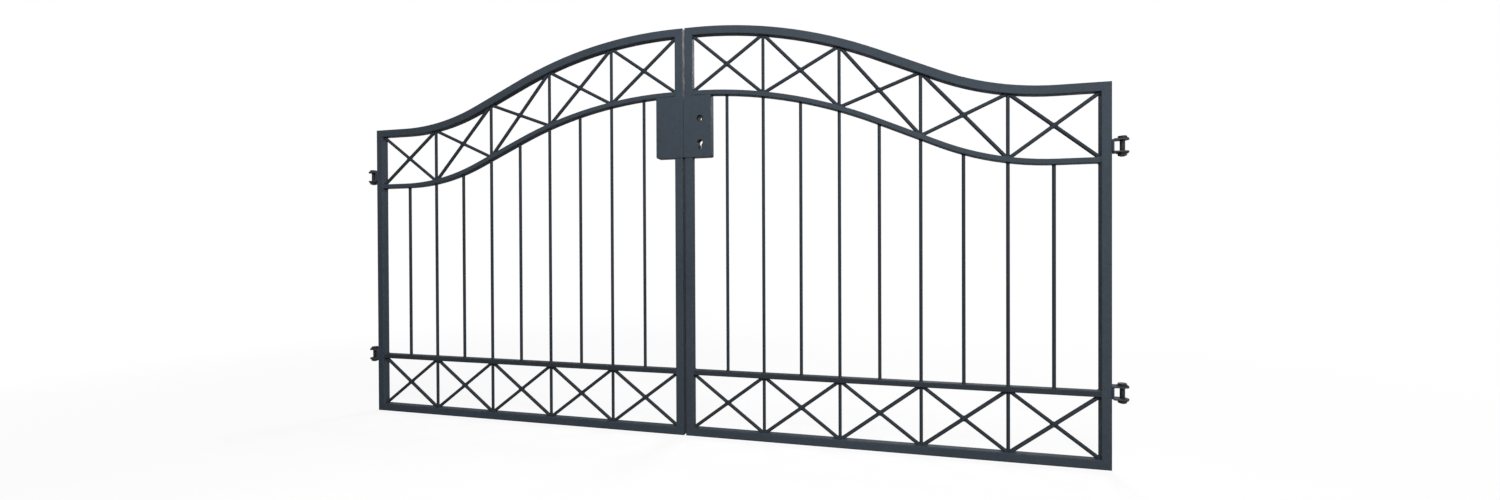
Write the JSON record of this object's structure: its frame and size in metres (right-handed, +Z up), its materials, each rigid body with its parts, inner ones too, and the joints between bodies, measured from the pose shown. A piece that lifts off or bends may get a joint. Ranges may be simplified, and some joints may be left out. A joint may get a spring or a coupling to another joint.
{
  "type": "double garden gate",
  "caption": "Double-leaf steel garden gate with a swan-curved top, bands of crossed braces, upright bars, clevis hinges and a mortise lock in a sheet box.",
  "frame": {"origin": "on the leaves' bottom line, midway between the two closed leaves, in the middle of the frame's depth", "axes": "+X to the right seen from the front, +Y to the back, +Z up"},
  "size_m": [2.411, 0.03, 1.25],
  "materials": {
    "powder_coat": "satin anthracite powder coat",
    "hinge_steel": "blackened steel",
    "black_zinc": "black zinc-plated steel",
    "bolt_steel": "bright zinc-plated steel"
  },
  "bodies": {
    "hinge_pins": {"hinge_bolts": "hinge_steel", "hinge_nuts": "hinge_steel", "hinge_washers": "hinge_steel"},
    "left_leaf": {"left_hinge_stile": "powder_coat", "left_meeting_stile": "powder_coat", "left_bottom_rail": "powder_coat", "left_lower_rail": "powder_coat", "left_arched_rail": "powder_coat", "left_top_rail": "powder_coat", "left_bars": "powder_coat", "left_upper_struts": "powder_coat", "left_lower_struts": "powder_coat", "left_upper_long_braces": "powder_coat", "left_upper_short_braces": "powder_coat", "left_lower_long_braces": "powder_coat", "left_lower_short_braces": "powder_coat", "left_upper_hinge_bracket": "powder_coat", "left_lower_hinge_bracket": "powder_coat", "left_box_front_plate": "powder_coat", "left_box_back_plate": "powder_coat", "left_box_rim": "powder_coat", "strike_plate": "black_zinc", "strike_screws": "black_zinc"},
    "right_leaf": {"right_hinge_stile": "powder_coat", "right_meeting_stile": "powder_coat", "right_bottom_rail": "powder_coat", "right_lower_rail": "powder_coat", "right_arched_rail": "powder_coat", "right_top_rail": "powder_coat", "right_bars": "powder_coat", "right_upper_struts": "powder_coat", "right_lower_struts": "powder_coat", "right_upper_long_braces": "powder_coat", "right_upper_short_braces": "powder_coat", "right_lower_long_braces": "powder_coat", "right_lower_short_braces": "powder_coat", "right_upper_hinge_bracket": "powder_coat", "right_lower_hinge_bracket": "powder_coat", "right_box_front_plate": "powder_coat", "right_box_back_plate": "powder_coat", "right_box_rim": "powder_coat", "lock_case": "black_zinc", "lock_cover": "black_zinc", "lock_faceplate": "black_zinc", "faceplate_screws": "black_zinc", "latch_spring": "bolt_steel"},
    "follower": {"lock_follower": "black_zinc"},
    "latch": {"latch_bolt": "bolt_steel"},
    "bolt": {"dead_bolt": "bolt_steel"}
  },
  "joints": [
    {"name": "left_leaf_swing", "type": "hinge", "parent": "hinge_pins", "child": "left_leaf", "pos_m": [-1.1905, 0, 0.5], "axis": [0, 0, 1], "range_deg": [-90, 90]},
    {"name": "right_leaf_swing", "type": "hinge", "parent": "hinge_pins", "child": "right_leaf", "pos_m": [1.1905, 0, 0.5], "axis": [0, 0, -1], "range_deg": [-90, 90]},
    {"name": "follower_turn", "type": "hinge", "parent": "right_leaf", "child": "follower", "pos_m": [0.0535, 0, 0.97019], "axis": [0, -1, 0], "range_deg": [0, 35]},
    {"name": "latch_slide", "type": "slide", "parent": "right_leaf", "child": "latch", "axis": [-1, 0, 0], "range_m": [0, 0.01204]},
    {"name": "dead_bolt_slide", "type": "slide", "parent": "right_leaf", "child": "bolt", "axis": [-1, 0, 0], "range_m": [0, 0.02]}
  ],
  "couplings": [
    {"joint": "latch_slide", "follows": "follower_turn", "m_per_rad": 0.01969}
  ]
}
